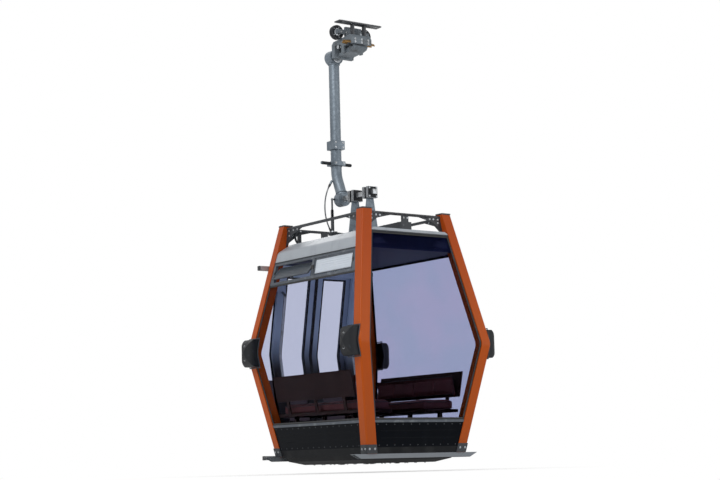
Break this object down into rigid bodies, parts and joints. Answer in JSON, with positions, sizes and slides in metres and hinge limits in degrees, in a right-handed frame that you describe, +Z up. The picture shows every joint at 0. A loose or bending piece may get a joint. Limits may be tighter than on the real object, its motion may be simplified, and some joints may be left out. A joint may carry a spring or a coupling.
{
  "type": "cable car cabin",
  "caption": "Gondola cable car cabin with bent orange corner posts and tinted folded glazing, hung by a curved arm from a detachable rope grip.",
  "frame": {"origin": "on the rope's axis, in the middle of the grip's clamp", "axes": "+X along the rope, +Y to the door side, away from the towers, +Z up"},
  "size_m": [1.79, 1.9859, 4.402],
  "materials": {
    "orange_paint": "satin",
    "roof_grey": "satin",
    "liner_navy": "matte",
    "black_metal": "satin",
    "tinted_glass": "polished",
    "black_panel": "gloss",
    "aluminium": "satin",
    "dark_frame": "satin",
    "vent_glazing": "satin",
    "pan_black": "matte",
    "deck_rubber": "matte",
    "door_metal": "satin",
    "rack_plastic": "matte",
    "bench_plastic": "matte",
    "seat_fabric": "matte",
    "bumper_rubber": "satin",
    "galvanised": "matte",
    "steel": "satin",
    "damper_rubber": "matte",
    "cast_grip": "matte",
    "wheel_plastic": "satin",
    "shoe_plastic": "matte",
    "cable_rubber": "matte",
    "plug_black": "matte"
  },
  "bodies": {
    "grip": {"grip_body": "cast_grip", "grip_pin": "steel", "drive_shoe": "shoe_plastic"},
    "wheel_front": {"carrier_wheel_front": "wheel_plastic"},
    "wheel_rear": {"carrier_wheel_rear": "wheel_plastic"},
    "jaw": {"grip_jaw": "cast_grip"},
    "door_front": {"door_leaf_front": "door_metal", "door_window_front": "tinted_glass", "ski_rack_front": "rack_plastic"},
    "door_rear": {"door_leaf_rear": "door_metal", "door_window_rear": "tinted_glass", "ski_rack_rear": "rack_plastic"},
    "flap_door_side": {"vent_flap_door_side": "vent_glazing"},
    "flap_tower_side": {"vent_flap_tower_side": "vent_glazing"},
    "carrier": {"back_cushion_front": "seat_fabric", "back_cushion_rear": "seat_fabric", "bench_frame_front": "bench_plastic", "bench_frame_rear": "bench_plastic", "bumper_pads_ends": "bumper_rubber", "cable_plug": "plug_black", "ceiling_liner": "liner_navy", "control_cable": "cable_rubber", "corner_post_front_door": "orange_paint", "corner_post_front_tower": "orange_paint", "corner_post_rear_door": "orange_paint", "corner_post_rear_tower": "orange_paint", "damper_strut": "black_metal", "door_actuator": "black_metal", "door_flank_windows": "tinted_glass", "door_frame": "door_metal", "door_guide": "aluminium", "door_rail": "aluminium", "floor_deck": "deck_rubber", "floor_pan": "pan_black", "guide_rail_door": "aluminium", "guide_rail_tower": "aluminium", "hanger_arm": "galvanised", "hanger_step": "galvanised", "lower_panel_front": "black_panel", "lower_panel_rear": "black_panel", "lower_panel_tower": "black_panel", "roof_beam": "black_metal", "roof_shell": "roof_grey", "roof_ties": "black_metal", "seat_cushion_front": "seat_fabric", "seat_cushion_rear": "seat_fabric", "sill_rails": "aluminium", "suspension_axle": "steel", "suspension_cheeks": "galvanised", "suspension_dampers": "damper_rubber", "vent_frame": "dark_frame", "window_front": "tinted_glass", "window_rear": "tinted_glass", "window_tower": "tinted_glass"}
  },
  "joints": [
    {"name": "hanger_swing", "type": "hinge", "parent": "grip", "child": "carrier", "pos_m": [0, 0.44, -0.04], "axis": [0, 1, 0], "range_deg": [-35, 35]},
    {"name": "wheel_front_spin", "type": "hinge", "parent": "grip", "child": "wheel_front", "pos_m": [-0.17, 0.14, 0.138], "axis": [0, 1, 0], "continuous": true},
    {"name": "wheel_rear_spin", "type": "hinge", "parent": "grip", "child": "wheel_rear", "pos_m": [0.17, 0.14, 0.138], "axis": [0, 1, 0], "continuous": true},
    {"name": "jaw_open", "type": "hinge", "parent": "grip", "child": "jaw", "pos_m": [0, 0.112, -0.046], "axis": [1, 0, 0], "range_deg": [0, 18], "stiffness_Nm_per_rad": 400, "springref_deg": -20.05},
    {"name": "door_rear_slide", "type": "slide", "parent": "carrier", "child": "door_rear", "axis": [1, 0, 0], "range_m": [0, 0.38]},
    {"name": "door_front_slide", "type": "slide", "parent": "carrier", "child": "door_front", "axis": [-1, 0, 0], "range_m": [0, 0.38]},
    {"name": "vent_door_side_tilt", "type": "hinge", "parent": "carrier", "child": "flap_door_side", "pos_m": [-0.60346, 0.35, -2.29], "axis": [0, 1, 0], "range_deg": [-32, 0]},
    {"name": "vent_tower_side_tilt", "type": "hinge", "parent": "carrier", "child": "flap_tower_side", "pos_m": [-0.60346, -0.35, -2.29], "axis": [0, 1, 0], "range_deg": [0, 32]}
  ],
  "couplings": [
    {"joint": "door_front_slide", "follows": "door_rear_slide", "ratio": 1}
  ]
}
